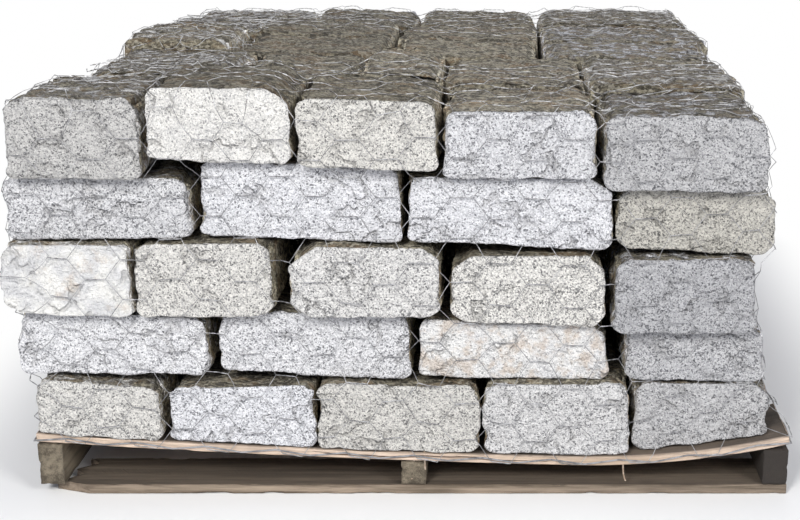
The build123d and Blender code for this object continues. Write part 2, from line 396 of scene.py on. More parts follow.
# %% Split face
def split_face(paper, place):
    """The colour of a clean face, and the patterns in it that the relief reads too."""
    warmth, specks, rust = (paper.attribute(name) for name in ("warmth", "specks", "rust"))
    stirred = place.stirred(0.0020, 0.0018)
    coarse, paleness = stirred.grains(CRYSTAL), stirred.grains(CRYSTAL, 1)
    fine, fine_pale = stirred.grains(FINE_CRYSTAL), stirred.grains(FINE_CRYSTAL, 1)
    clouds = place.noise(0.030, 3.0)
    lumps = place.noise(0.009, 3.0, 0.6)
    pale = (paleness * 0.50 + fine_pale * 0.40 + clouds * 0.35 + lumps * 0.45).between(0.40, 1.05)
    body = pale.mix(GREY_QUARTZ, WHITE_FELDSPAR)
    share = specks * (clouds * 0.26 - 0.05)
    flakes = 1 - (coarse - share).between(-0.01, 0.02)
    dust = 1 - (fine - share * 2.0).between(-0.01, 0.03)
    body = (dust * DUST_SHARE).mix(body, BLACK_MICA)
    body = (flakes * MICA_SHARE).mix(body, BLACK_MICA)
    body = warmth.mix(body.tinted(COOL_TINT), body.tinted(WARM_TINT))
    cloudy = clouds.between(0.38, 0.62).mix(BLUE_CLOUD, WHITE_FELDSPAR)
    body = ((1 - specks).between(0.30, 0.95) * 0.75).mix(body, cloudy)
    stain = (place.noise(0.028, 4.0, 0.65) * rust).between(0.33, 0.45)
    body = (stain * 0.45).mix(body, RUST)
    return body, stirred, coarse, flakes, dust, lumps


# %% Weathered face
LAID_FLAT = (0.45, 1, 1)


def weathered_and_shaded_face(paper, place, stirred, dust):
    """The colour of a face that lay in the ground, brown with dirt and dark with painted shade,
    its mottle and its streaks.
    """
    drawn_out = paper.vector("MULTIPLY", {0: place, 1: LAID_FLAT})
    mottle = drawn_out.noise(0.016, 5.0, 0.75)
    streaks = drawn_out.noise(0.0065, 3.0, 0.7)
    dirt_and_shade = (mottle * 0.55 + streaks * 0.45).between(0.45, 0.56).mix(WEATHER_AND_SHADE_DARK, WEATHER_AND_SHADE_PALE)
    dirt_and_shade = (drawn_out.noise(0.030, 4.0, 0.6).between(0.50, 0.62) * 0.6).mix(dirt_and_shade, EARTH)
    clods = stirred.grains(CLOD)
    dirt_and_shade = (clods.between(0.70, 0.80) * 0.55).mix(dirt_and_shade, DUSTY_GRAIN)
    dirt_and_shade = ((1 - clods.between(0.16, 0.24)) * 0.6 + dust * 0.2).mix(dirt_and_shade, WEATHER_AND_SHADE_DARK)
    return dirt_and_shade, mottle, streaks


# %% Granite
GRANITE_RELIEF = 0.0061


def creases(paper, place):
    """1 on thin wandering lines, where a noise passes its middle value."""
    wander = place.stirred(0.030, 0.020).noise(0.045, 3.0, 0.55)
    line = 1 - paper.maths("ABSOLUTE", wander * 2 - 1, 0).between(0.0, 0.09)
    return line * place.noise(0.05, 1.0).between(0.48, 0.62)


def granite():
    """Clean where a stone was split; brown with dirt and dark with painted shade where it lay in
    the ground; with a torn rim.
    """
    made, paper = new_material("granite")
    place = paper.node("ShaderNodeTexCoord", output=3)
    body, stirred, coarse, flakes, dust, lumps = split_face(paper, place)
    dirt_and_shade, mottle, streaks = weathered_and_shaded_face(paper, place, stirred, dust)
    crease = creases(paper, place)
    grit = place.noise(0.005, 3.0, 0.65)
    bites = place.noise(0.020, 4.0, 0.65)
    # Weather is 1 away from the fresh split ends: there the dirt colour also paints the shade of
    # tops, flanks, undersides and inner ends.
    dirty_and_shaded = (paper.attribute("weather") + (bites - 0.5) * 1.7).between(0.36, 0.62)
    rim = dirty_and_shaded.between(0.02, 0.35) * (1 - dirty_and_shaded.between(0.5, 0.98))
    rim = rim * mottle.between(0.40, 0.60)
    colour = (dirty_and_shaded * 0.93).mix(body, dirt_and_shade)
    colour = (rim * 0.5).mix(colour, EARTH)
    colour = (crease * 0.22).mix(colour, WEATHER_AND_SHADE_DARK).tinted(paper.attribute("tone"))
    height = grit * 0.9 + lumps * 1.3 + coarse * 0.10 - crease * 0.7
    height = height + dirty_and_shaded * (streaks * 1.1 + mottle * 1.3)
    surface(paper, colour, 0.88 - 0.12 * flakes, height, GRANITE_RELIEF, specular=0.3)
    return made


granite_material = granite()
print("granite has", len(granite_material.node_tree.nodes), "nodes")

# %% [markdown]
# ## Stones
# A sett is split from the block by hand, so its faces are rough planes and its edges are
# worn. The measured model has each sett as a faceted solid. A fine grid is wrapped round
# each one: every grid point moves out along its ray to the nearest of the solid's planes,
# and a soft maximum of the planes in place of the hard one rounds the edges.

# %% Stones as planes
GROWTH = 0.0045
END_SLOPE = 0.9
CHAMFER_SLOPE = 0.15
MERGE_DISTANCE = 0.05 * mm
# Planes count as one where their normals agree to 1/50 and their distances to half a millimetre
SAME_PLANE = (50, 50, 50, 2000)


def loose_pieces(node):
    """The corners and planes of each separate solid of a node, from left to right."""
    mesh = bmesh.new()
    mesh.from_mesh(nodes[node].data)
    bmesh.ops.remove_doubles(mesh, verts=mesh.verts, dist=MERGE_DISTANCE)
    waiting = dict.fromkeys(mesh.verts)
    pieces = []
    while waiting:
        front = [next(iter(waiting))]
        del waiting[front[0]]
        corners, planes = [], []
        while front:
            vert = front.pop()
            corners.append(vert.co[:])
            planes += [(*face.normal, face.normal.dot(vert.co)) for face in vert.link_faces]
            for edge in vert.link_edges:
                other = edge.other_vert(vert)
                if other in waiting:
                    del waiting[other]
                    front.append(other)
        corners, planes = np.array(corners), np.array(planes)
        slope = abs(planes[:, 1])
        planes = planes[(slope < CHAMFER_SLOPE) | (slope > END_SLOPE)]
        key = np.round(planes * SAME_PLANE)
        first = np.unique(key, axis=0, return_index=True)[1]
        pieces.append((corners.min(0), corners.max(0), planes[np.sort(first)]))
    mesh.free()
    return sorted(pieces, key=lambda piece: piece[0][0])


print("planes of the lowest front stones:", [len(p) for _, _, p in loose_pieces("course_1_row_1")])

# %% [markdown]
# ## A grid round a stone
# Only faces that can be seen need fine quads. So each side of the grid is divided by what
# looks out on it: 4 mm on the front, 5.5 mm on the top, 8 mm on the other outer sides and
# 28 mm inside the load. A face that can never be seen is a single flat cap.

# %% Steps of the grid
STONE_EDGE = 44
FINE_FACE = {"front": 0.0038, "top": 0.0055, "left": 0.008, "right": 0.008, "back": 0.008}
HIDDEN_STEP = 0.028
FINE_REACH = 0.035
SPANNED = {"front": (0, 2), "back": (0, 2), "left": (1, 2), "right": (1, 2), "top": (0, 1)}
NEAR_END = {"left": (0, 0), "right": (0, 1), "front": (1, 0), "back": (1, 1), "top": (2, 1)}


def grid_steps(length, base, low_step, high_step):
    """Places from -1 to 1 along one side of the grid, closer near a visible end."""
    places = [0.0]
    while places[-1] < length:
        x = places[-1]
        step = base
        if x < FINE_REACH:
            step = min(step, low_step)
        if x > length - FINE_REACH:
            step = min(step, high_step)
        places.append(x + step)
    places = np.array(places)
    return places / places[-1] * 2 - 1


front_steps = grid_steps(0.12, HIDDEN_STEP, FINE_FACE["front"], HIDDEN_STEP)
print("a flank of 12 cm behind a front face is divided", len(front_steps) - 1, "times")

# %% Grid of a box
def cap_rim(counts, axis, end):
    """The grid points round one end of a box, in order."""
    a, b = [other for other in range(3) if other != axis]
    rim_a = [*range(counts[a] - 1), *[counts[a] - 1] * (counts[b] - 1)]
    rim_b = [*[0] * (counts[a] - 1), *range(counts[b] - 1)]
    rim_a += [counts[a] - 1 - k for k in rim_a]
    rim_b += [counts[b] - 1 - k for k in rim_b]
    rim = np.zeros((len(rim_a), 3), int)
    rim[:, axis], rim[:, a], rim[:, b] = end, rim_a, rim_b
    return rim


def box_grid(sides, capped=()):
    """The points and faces of a box with divided sides; a capped end is one flat face."""
    counts = [len(side) for side in sides]
    quads, caps = [], []
    for axis in range(3):
        a, b = [other for other in range(3) if other != axis]
        i, j = np.meshgrid(np.arange(counts[a] - 1), np.arange(counts[b] - 1), indexing="ij")
        for end in (0, counts[axis] - 1):
            outward = (end > 0) == (axis != 1)
            if (axis, min(end, 1)) in capped:
                rim = cap_rim(counts, axis, end)
                caps.append(rim if outward else rim[::-1])
                continue
            ring = []
            for di, dj in ((0, 0), (1, 0), (1, 1), (0, 1)):
                key = np.zeros((i.size, 3), int)
                key[:, axis], key[:, a], key[:, b] = end, (i + di).ravel(), (j + dj).ravel()
                ring.append(key)
            quads.append(np.stack(ring if outward else ring[::-1], axis=1))
    quads = np.concatenate(quads)
    flat = np.concatenate([quads.reshape(-1, 3), *caps])
    code = (flat[:, 0] * counts[1] + flat[:, 1]) * counts[2] + flat[:, 2]
    _, first, index = np.unique(code, return_index=True, return_inverse=True)
    keys = flat[first]
    points = np.stack([sides[axis][keys[:, axis]] for axis in range(3)], axis=1)
    index = index.ravel()
    faces = index[: len(quads) * 4].reshape(-1, 4).tolist()
    start = len(quads) * 4
    for cap in caps:
        faces.append(index[start : start + len(cap)].tolist())
        start += len(cap)
    return points, faces


trial_points, trial_faces = box_grid([np.linspace(-1, 1, 3)] * 3, [(2, 0)])
print("a grid of 2 x 2 x 2 has", len(trial_points), "points and", len(trial_faces), "faces")

# %% Wrap the grid
def smooth_step(values, low, high):
    t = np.clip((values - low) / (high - low), 0, 1)
    return t * t * (3 - 2 * t)


def wrapped_stone(low, high, planes, seen):
    """The points and faces of one rounded stone.

    With them come four numbers for each point: how much it is on an arris, on a split end,
    on a flank and on the underside.
    """
    middle, half = (low + high) / 2, (high - low) / 2
    sides = []
    for axis in range(3):
        spans = [FINE_FACE[face] for face in seen if axis in SPANNED[face]]
        ends = [HIDDEN_STEP, HIDDEN_STEP]
        for face in seen:
            if NEAR_END[face][0] == axis:
                ends[NEAR_END[face][1]] = FINE_FACE[face]
        sides.append(grid_steps(2 * half[axis], min(spans + [HIDDEN_STEP]), *ends))
    hidden = [(2, 0)] if "back" in seen or "front" not in seen else [(2, 0), (1, 1)]
    points, faces = box_grid(sides, hidden)
    rays = points * half
    growth = np.where(planes[:, 2] < -END_SLOPE, 0.3 * GROWTH, GROWTH)
    reach = planes[:, 3] + growth - planes[:, :3] @ middle
    nearness = np.clip(rays @ planes[:, :3].T / reach, 1e-6, None)
    largest = nearness.max(1, keepdims=True)
    share = nearness / largest
    rays /= largest * (share**STONE_EDGE).sum(1, keepdims=True) ** (1 / STONE_EDGE)
    facing = np.argmax(abs(planes[:, :3]), axis=1)
    groups = [share[:, facing == axis].max(1) for axis in range(3)]
    arris = smooth_step(np.sort(groups, axis=0)[1], 0.86, 1.0)
    split, flank = smooth_step(groups[1], 0.87, 1.0), smooth_step(groups[0], 0.94, 1.0)
    below = smooth_step(groups[2], 0.8, 1.0) * (rays[:, 2] < 0)
    return middle + rays, faces, arris, split, flank, below


wrapped = wrapped_stone(*loose_pieces("course_1_row_1")[1], ["front"])
print("the second stone of the front has", len(wrapped[1]), "faces")

# %% [markdown]
# ## Tints of the stones
# The front stones follow the photograph: some are blue grey, some cream, two are rusty.
# The rest draw their tint from the same range.

# %% Tints
# The low tones of the stones at the right end of each course, and of the top left one, are partly
# painted shade, where the light falls off towards the sides.
# Tone, warmth, specks and rust of each front stone, by course and from left to right
FRONT_TINTS = {
    1: [
        (0.87, 0.65, 1.0, 0.3), (1.01, 0.0, 0.9, 0.0), (0.83, 0.7, 0.95, 0.3),
        (0.87, 0.3, 0.9, 0.1), (0.70, 0.2, 0.9, 0.1),
    ],
    2: [
        (1.02, 0.1, 0.85, 0.1), (0.99, 0.1, 0.95, 0.0), (0.99, 0.35, 0.45, 0.72),
        (0.71, 0.1, 1.1, 0.0),
    ],
    3: [
        (0.94, 0.85, 0.08, 0.62), (0.88, 0.65, 1.0, 0.4), (0.90, 0.45, 1.1, 0.3),
        (0.95, 0.65, 1.4, 0.3), (0.60, 0.05, 1.0, 0.0),
    ],
    4: [
        (0.88, 0.1, 1.05, 0.1), (0.975, 0.0, 0.7, 0.0), (0.96, 0.0, 0.75, 0.1),
        (0.66, 0.95, 1.0, 0.4),
    ],
    5: [
        (0.67, 0.45, 0.8, 0.3), (0.93, 0.6, 0.50, 0.1), (0.83, 0.7, 0.95, 0.3),
        (0.85, 0.05, 1.0, 0.1), (0.64, 0.15, 0.95, 0.1),
    ],
}
# Tone of the faces of the top front stones that lay in the ground
GROUND_TONES = {5: (0.72, 0.60, 0.75, 1.0, 0.64)}
TINT_REACH = ((0.84, 1.0), (0, 0.8), (0.8, 1.15), (0, 0.4))
GROUND_REACH = (0.72, 1.02)
draw = np.random.default_rng(7)


def drawn_tone():
    return draw.uniform(*GROUND_REACH)


def drawn_tint():
    return tuple(draw.uniform(*reach) for reach in TINT_REACH)


print("front stones with a tint of their own:", sum(map(len, FRONT_TINTS.values())))

# %% [markdown]
# ## Rough surface
# A node tree presses the grid in, so that no stone bites into the next one. Large hollows
# bend the faces, a ridged noise leaves the shell-shaped scars of the hammer, a small noise
# leaves the grain, and chips break the arrises. The ends that were split stay flatter.

# %% Tree for the rough surface
# How deep each kind of hollow goes, in metres
ROUGH_DEPTHS = {
    "Hollow": 0.005, "Scar": 0.0035, "Ledge": 0.012, "Grain": 0.0018, "Chip": 0.006, "Wear": 0.011,
}


def rough_tree():
    tree, paper, sizes = new_tree("rough split face", ROUGH_DEPTHS)
    place = paper.node("GeometryNodeInputPosition")
    rough, arris = paper.stored("rough"), paper.stored("arris")
    large = place.noise(0.09, 1.0).between(0.25, 0.75)
    ridges = place.stirred(0.05, 0.03).noise(0.035, 2.0, 0.55)
    scars = 1 - paper.maths("ABSOLUTE", ridges * 2 - 1, 0).between(0, 0.55)
    small = place.noise(0.009, 2.0, 0.6)
    drawn_out = paper.vector("MULTIPLY", {0: place, 1: (0.4, 1, 1)})
    ledges = paper.maths("SNAP", drawn_out.noise(0.055, 3.0, 0.55), 0.09) - 0.42
    ledges = ledges * rough.between(0.75, 1.0)
    chips = place.noise(0.022, 3.0, 0.6).between(0.42, 0.68)
    depth = (large * sizes["Hollow"] + scars * sizes["Scar"]) * rough + ledges * sizes["Ledge"]
    waves = place.noise(0.045, 2.0).between(0.30, 0.72) - 0.35
    worn = chips * sizes["Chip"] + waves * sizes["Wear"]
    end_pressed_tree(paper, sizes, depth + small * sizes["Grain"] + worn * arris)
    return tree


rough_face = rough_tree()

# %% [markdown]
# ## Laying the stones
# Each row of a course becomes one piece. Its stones get their tint, and each of their points gets
# how fresh and how rough it is: ends that were split last are pale and flat; flanks, tops and the
# ends inside the load are brown with dirt and darkened as painted shade, and the flanks are then
# lightened again as painted light. What touches a neighbour is kept smoother, so that no two
# stones meet.

# %% Values of one stone
COURSES = 5
ROWS = 5
STONE_VALUES = ("tone", "warmth", "specks", "rust", "weather", "rough", "arris")
OUTER_FLANK_FRESHNESS = 0.45


def seen_faces(course, row, place, last):
    seen = {
        "front": row == 1,
        "back": row == ROWS,
        "left": place == 0,
        "right": place == last,
        "top": course == COURSES,
    }
    return [face for face, is_seen in seen.items() if is_seen]


def stone(course, row, place, last, low, high, planes):
    """The points, faces and values of one stone of a row."""
    seen = seen_faces(course, row, place, last)
    points, faces, arris, split, flank, below = wrapped_stone(low, high, planes, seen)
    tint, ground = drawn_tint(), drawn_tone()
    if row == 1:
        tint = FRONT_TINTS[course][place]
        ground = GROUND_TONES.get(course, [ground] * (last + 1))[place]
    middle = (low + high) / 2
    # Only the outer ends stay fresh: the ends inside the load take the weathered colour, which
    # paints their shade.
    fresh = np.where(points[:, 1] < middle[1], row == 1, row == ROWS)
    fresh = fresh * split + OUTER_FLANK_FRESHNESS * (1 - split) * (place in (0, last))
    # On flanks the tone is raised by up to 2.1 times: painted light that brightens the side faces,
    # which the lamps leave in shade.
    tone = np.where(fresh > 0.5, tint[0], ground * (1 + 1.1 * flank))
    inner = flank * np.where(points[:, 0] < middle[0], place > 0, place < last) * (row > 1)
    rough = (1 - 0.3 * split) * (1 - 0.9 * below) * (1 - 0.5 * inner)
    arris = arris * (1 - 0.7 * below) * (1 - 0.4 * inner)
    each = np.ones(len(points))
    values = [each * value for value in (tone, *tint[1:])]
    return points, faces, np.stack([*values, 1 - fresh, rough, arris])


print("seen of the top left front stone:", seen_faces(COURSES, 1, 0, 4))

# %% Lay the stones
def row_of_stones(course, row):
    stones = loose_pieces(f"course_{course}_row_{row}")
    all_points, all_faces, values = [], [], []
    count = 0
    for place, (low, high, planes) in enumerate(stones):
        last = len(stones) - 1
        points, faces, value = stone(course, row, place, last, low, high, planes)
        values.append(value)
        all_points.append(points)
        all_faces += [[index + count for index in face] for face in faces]
        count += len(points)
    piece = new_piece(f"stones_{course}_{row}", np.concatenate(all_points), all_faces)
    for name, column in zip(STONE_VALUES, np.concatenate(values, axis=1)):
        add_values(piece, name, column)
    applied(piece, rough_face, {**ROUGH_DEPTHS, "Material": granite_material})
    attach(piece, "root")
    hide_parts(f"course_{course}_row_{row}")
    return piece


stone_pieces = [
    row_of_stones(course, row) for course in range(1, COURSES + 1) for row in range(1, ROWS + 1)
]
print_triangles("stones", stone_pieces)

# %% [markdown]
# ## Timber
# A pallet is nailed from rough-sawn boards. Sawn wood shows streaks along the grain, the
# arcs of the saw across it and darker dirt on worn edges. Each board carries its own grain
# coordinates, with the grain's direction first, so that the streaks follow the board and
# no two boards match. One function mixes three finishes from it.

# %% Wood
# Near black: dirt, and painted shade under the deck, under the load and at the pallet's right end.
SOIL_AND_SHADE_COLOUR = (0.035, 0.030, 0.027, 1)
WOOD_RELIEF = 0.0016


def wood(name, pale, dark, dirt_and_shade):
    """Streaked from dark to pale along the grain, with dirt in pores, cracks and on arrises."""
    made, paper = new_material(name)
    grain = paper.attribute("grain", 1)
    worn = paper.attribute("arris")

    def streaks(along, across, detail=3.0):
        stretched = paper.vector("MULTIPLY", {0: grain, 1: (across / along, 1, 1)})
        return stretched.noise(across, detail, 0.6)

    rings = streaks(0.35, 0.012)
    fibres = streaks(0.06, 0.0016, 2.0)
    patches = streaks(0.20, 0.06)
    saw = paper.vector("MULTIPLY", {0: grain, 1: (1, 0.06, 0.06)}).noise(0.0035, 1.0)
    tone = rings * 0.6 + fibres * 0.35 + patches * 0.35
    colour = tone.between(0.50, 0.78).mix(dark, pale)
    colour = (fibres.between(0.60, 0.72) * 0.45).mix(colour, dirt_and_shade)
    colour = (patches.between(0.52, 0.75) * 0.55).mix(colour, dirt_and_shade)
    colour = (worn * streaks(0.05, 0.008).between(0.35, 0.7) * 0.6).mix(colour, dirt_and_shade)
    colour = (paper.attribute("crack") * 0.92).mix(colour, dirt_and_shade)
    # Soil mixes this near black in: dirt, and painted shade on tops under the deck or the load and
    # at the right end.
    soil = paper.attribute("soil") * (0.55 + patches * 0.5)
    colour = soil.mix(colour, SOIL_AND_SHADE_COLOUR)
    height = fibres * 0.6 + saw * 0.35 + rings * 0.5
    surface(paper, colour, 0.80 + 0.1 * fibres, height, WOOD_RELIEF, specular=0.25)
    print(name, "has", len(made.node_tree.nodes), "nodes")
    return made


deck_board_wood = wood(
    "deck board wood", (0.82, 0.66, 0.54, 1), (0.56, 0.43, 0.325, 1), (0.13, 0.09, 0.065, 1)
)
bottom_board_wood = wood(
    "bottom board wood", (0.345, 0.275, 0.21, 1), (0.13, 0.102, 0.075, 1), (0.06, 0.042, 0.03, 1)
)
stringer_wood = wood(
    "stringer wood", (0.29, 0.245, 0.18, 1), (0.085, 0.07, 0.05, 1), (0.045, 0.033, 0.025, 1)
)

# %% [markdown]
# ## Boards
# Each board is a rounded box of fine quads, bent to the place and the sag of the board in
# the measured model. A node tree then wears it: the flat faces get a saw's ripple and the
# arrises are knocked off in places. A box of quads keeps the wear even, where the few long
# triangles of the model would fold.

# %% Tree for worn wood
WORN_DEPTHS = {"Ripple": 0.0012, "Knock": 0.004, "Crack": 0.005}


def worn_tree():
    tree, paper, sizes = new_tree("worn wood", WORN_DEPTHS)
    grain = paper.stored("grain", "FLOAT_VECTOR")
    arris, crack = paper.stored("arris"), paper.stored("crack")
    long = paper.vector("MULTIPLY", {0: grain, 1: (0.15, 1, 1)})
    ripple = long.noise(0.012, 3.0, 0.6)
    knock = paper.vector("MULTIPLY", {0: grain, 1: (0.4, 1, 1)}).noise(0.016, 3.0, 0.6)
    depth = ripple * sizes["Ripple"] + knock.between(0.5, 0.75) * arris * sizes["Knock"]
    end_pressed_tree(paper, sizes, depth + crack * sizes["Crack"])
    return tree


worn_wood = worn_tree()

# %% A worn board
EDGE_RADIUS = 0.0015
ARRIS_WIDTH = 0.008
FRONT_LIP = 0.002
TINY = 1e-9


def board_steps(length, step):
    """Places along one side of a board, with two close together at each rounded edge."""
    inner = np.linspace(EDGE_RADIUS, length - EDGE_RADIUS, max(2, int(length / step)) + 1)
    return np.array([0, 0.3 * EDGE_RADIUS, *inner, length - 0.3 * EDGE_RADIUS, length])


print("a side of 12 mm in steps of 4 mm:", np.round(board_steps(0.012, 0.004) / mm, 2), "mm")

def board(node, steps, material, along=0, bend=None, crack=None, top_soil_and_shade=1.0, soil=None):
    """A worn board in place of a node, with its grain along one axis.

    Bend warps its points and crack marks a split. Top soil darkens its top behind the front lip
    with dirt and painted shade, for tops that lie under the deck or the load, and soil does so for
    the rest of its points.
    """
    low, high = (np.array(corner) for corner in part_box(node))
    size = high - low
    points, faces = box_grid([board_steps(size[axis], steps[axis]) for axis in range(3)])
    inner = np.clip(points, EDGE_RADIUS, size - EDGE_RADIUS)
    outer = points - inner
    distance = np.linalg.norm(outer, axis=1, keepdims=True)
    points = inner + outer * (EDGE_RADIUS / np.maximum(distance, TINY)) * (distance > TINY)
    to_edge = np.sort(np.minimum(points, size - points), axis=1)[:, 1]
    arris = 1 - smooth_step(to_edge, 0, ARRIS_WIDTH)
    points = points + low
    grain = np.roll(points, -along, axis=1) + draw.uniform(-3, 3, 3)
    split = crack(points) if crack else np.zeros(len(points))
    on_top = points[:, 2] > high[2] - 0.1 * EDGE_RADIUS
    below = soil(points) if soil else 0
    # Behind the front lip the top is darkened: painted shade where it lies under the deck or the
    # load, with dirt.
    dirt_and_shade = np.where(on_top & (points[:, 1] > low[1] + FRONT_LIP), top_soil_and_shade, below)
    if bend:
        points = bend(points)
    piece = new_piece(node.replace("board", "plank") + "_worn", points, faces)
    add_values(piece, "arris", arris)
    add_values(piece, "crack", split)
    add_values(piece, "soil", dirt_and_shade)
    add_values(piece, "grain", grain, "FLOAT_VECTOR")
    applied(piece, worn_wood, {**WORN_DEPTHS, "Material": material})
    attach(piece, "root")
    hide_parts(node)
    return piece


# %% [markdown]
# ## Stringers, bottom boards and deck boards
# The deck boards sag between the stringers under the load, so each follows the curve of its solid.
# The front bottom board has lost its left end, which leaves long splinters, and the front deck
# board is split lengthwise. Dirt and painted shade are an attribute of the points, because they
# follow the pallet and not the grain: the tops that lie under the deck or the load are painted
# dark as shade with dirt, the right stringer's front end is painted nearly black as shade, and the
# right half of the front bottom board is painted darker as shade.

# %% Stringers
# Dirt on each stringer's front end; on the right one it is painted shade, nearly black, fading
# back to a film of dirt.
STRINGER_SOIL_AND_SHADE = {"left": 0.31, "middle": 0.22, "right": 1.35}
BACK_SOIL = 0.3
SOIL_FADES = (-0.58, -0.31)
STRINGER_STEPS = (0.005, 0.014, 0.005)


def front_soil_and_shade(amount):
    """Dirt and painted shade of this amount on the front end, which fade to an even film of dirt
    further back.
    """
    return lambda points: amount + (BACK_SOIL - amount) * smooth_step(points[:, 1], *SOIL_FADES)


timber = [
    board(
        f"stringer_{place}", STRINGER_STEPS, stringer_wood,
        along=1, soil=front_soil_and_shade(soil),
    )
    for place, soil in STRINGER_SOIL_AND_SHADE.items()
]
print_triangles("stringers", timber)

# %% Bottom boards
PLAIN_STEPS = (0.014, 0.006, 0.004)
SPLINTER_STEPS = (0.008, 0.003, 0.0035)
for place in ("middle", "back"):
    node = f"bottom_board_{place}"
    timber.append(board(node, PLAIN_STEPS, bottom_board_wood))


def board_corners(node):
    return np.array([vert.co[:] for vert in nodes[node].data.vertices])


def right_painted_shade(points):
    """Painted shade as a dark film on the right half."""
    return 0.30 * smooth_step(points[:, 0], 0.0, 0.3)


def splintered(points):
    """Pulls the left end of the front bottom board back to its solid's broken outline."""
    corners = board_corners("bottom_board_front")
    left = corners[corners[:, 0] < 0]
    order = np.argsort(left[:, 1])
    low, high = corners.min(0)[0], corners.max(0)[0]
    start = np.interp(points[:, 1], left[order, 1], left[order, 0])
    points[:, 0] = start + (points[:, 0] - low) * (high - start) / (high - low)
    return points


timber.append(
    board(
        "bottom_board_front", SPLINTER_STEPS, bottom_board_wood,
        bend=splintered, top_soil_and_shade=0.88, soil=right_painted_shade,
    )
)
print_triangles("bottom boards", timber[-3:])

# %% Sag and split of the deck boards
DECK_BOARDS = 7
DECK_BOARD_THICKNESS = 0.012
CRACK_FROM, CRACK_TO = -0.16, 0.17
CRACK_WIDTH = 0.0016
CRACK_OPENS, CRACK_CLOSES = 0.08, 0.05


def sagging(node):
    """Bends a board to the curve of the underside of its solid."""
    mesh = nodes[node].data
    corners = board_corners(node)
    low, high = corners.min(0)[2], corners.max(0)[2]
    below = {i for face in mesh.polygons if face.normal.z < -0.5 for i in face.vertices}
    curve = np.unique(np.round(corners[sorted(below)][:, ::2], 5), axis=0)

    def bend(points):
        share = (points[:, 2] - low) / (high - low)
        points[:, 2] = np.interp(points[:, 0], *curve.T) + share * DECK_BOARD_THICKNESS
        return points

    return bend


def lead_crack(points):
    """1 on the wandering line of the split in the front edge of the first board."""
    share = (points[:, 2] - points[:, 2].min()) / np.ptp(points[:, 2]) * DECK_BOARD_THICKNESS
    x = points[:, 0]
    line = 0.0055 + 0.0016 * np.sin(x * 31) + 0.0008 * np.sin(x * 87 + 1)
    width = CRACK_WIDTH * smooth_step(x, CRACK_FROM, CRACK_FROM + CRACK_OPENS)
    width = width * (1 - smooth_step(x, CRACK_TO - CRACK_CLOSES, CRACK_TO)) + 1e-5
    on_front = points[:, 1] < points[:, 1].min() + 0.003
    return on_front * (1 - smooth_step(abs(share - line) / width, 0.3, 1.0))


print("the split runs over", round(CRACK_TO - CRACK_FROM, 3), "m of the front board")

# %% Deck boards
LEAD_STEPS = (0.005, 0.006, 0.0035)
HIDDEN_STEPS = (0.024, 0.014, 0.03)
for index in range(1, DECK_BOARDS + 1):
    node = f"deck_board_{index}"
    is_lead = index == 1
    timber.append(
        board(
            node, LEAD_STEPS if is_lead else HIDDEN_STEPS, deck_board_wood,
            bend=sagging(node), crack=lead_crack if is_lead else None,
            # Their tops are darkened behind the front lip as painted shade under the load, with
            # dirt.
            top_soil_and_shade=1.1 if is_lead else 1.4,
        )
    )
print_triangles("timber", timber)

# %% [markdown]
# ## The drape of the netting
# Hexagonal wire netting is unrolled once round the load, from the edge wire at the deck up
# over the rim, and its last half metre is folded in over the top. Pulled tight, it rests on
# the stones that stand out and bridges the hollows. That is a membrane: a sheet of heights
# over a smooth box is held up by rays on the stones and otherwise sinks to the mean of its
# neighbours. The box lies just inside the load, so that at corners too each ray meets stone.
# Cloth simulation would do it as well, far slower, and would fold at random.

# %% Outline of the load
CORNER_RADIUS = 0.026
RIM_RADIUS = 0.024
BOX_INSET = 0.006
TOP_REACH = {"front": 0.34, "right": 0.04, "back": 0.40, "left": 0.22}
CORNER_REACH = 0.012


def row_boxes(start, end=""):
    names = [name for name in nodes if name.startswith(start) and name.endswith(end)]
    return np.array([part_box(name) for name in names])


load_x = np.median(row_boxes("course_"), axis=0)[:, 0]
load_front = np.median(row_boxes("course_", "row_1"), axis=0)[0, 1]
load_back = np.median(row_boxes("course_", f"row_{ROWS}"), axis=0)[1, 1]
load_top = row_boxes(f"course_{COURSES}")[:, 1, 2].min()
low = np.array([load_x[0], load_front]) + BOX_INSET
high = np.array([load_x[1], load_back]) - BOX_INSET
RIM_HEIGHT = load_top - BOX_INSET - RIM_RADIUS
print("smooth box", np.round(low, 3), "to", np.round(high, 3), "and", round(RIM_HEIGHT, 3), "m up")

# %% Plan of the netting
ARC_POINTS = 19


def outline_samples():
    """Points and outward directions round the load's rounded plan, from the front left."""
    (x0, y0), (x1, y1) = low, high
    r = CORNER_RADIUS
    corners = [
        ((x1 - r, y0 + r), -90),
        ((x1 - r, y1 - r), 0),
        ((x0 + r, y1 - r), 90),
        ((x0 + r, y0 + r), 180),
    ]
    places, normals = [(x0 + r, y0)], [(0, -1)]
    for (cx, cy), start in corners:
        for angle in np.radians(start + np.linspace(0, 90, ARC_POINTS)):
            places.append((cx + r * cos(angle), cy + r * sin(angle)))
            normals.append((cos(angle), sin(angle)))
    return np.array(places), np.array(normals)


plan, plan_normals = outline_samples()
plan_lengths = np.concatenate([[0], np.cumsum(np.linalg.norm(np.diff(plan, axis=0), axis=1))])
PERIMETER = plan_lengths[-1]
print("netting is", round(PERIMETER, 3), "m round")


def at_outline(u):
    """The places and outward directions at lengths u round the plan."""
    u = np.mod(u, PERIMETER)
    place = [np.interp(u, plan_lengths, plan[:, axis]) for axis in (0, 1)]
    normal = [np.interp(u, plan_lengths, plan_normals[:, axis]) for axis in (0, 1)]
    return np.stack(place, -1), np.stack(normal, -1)


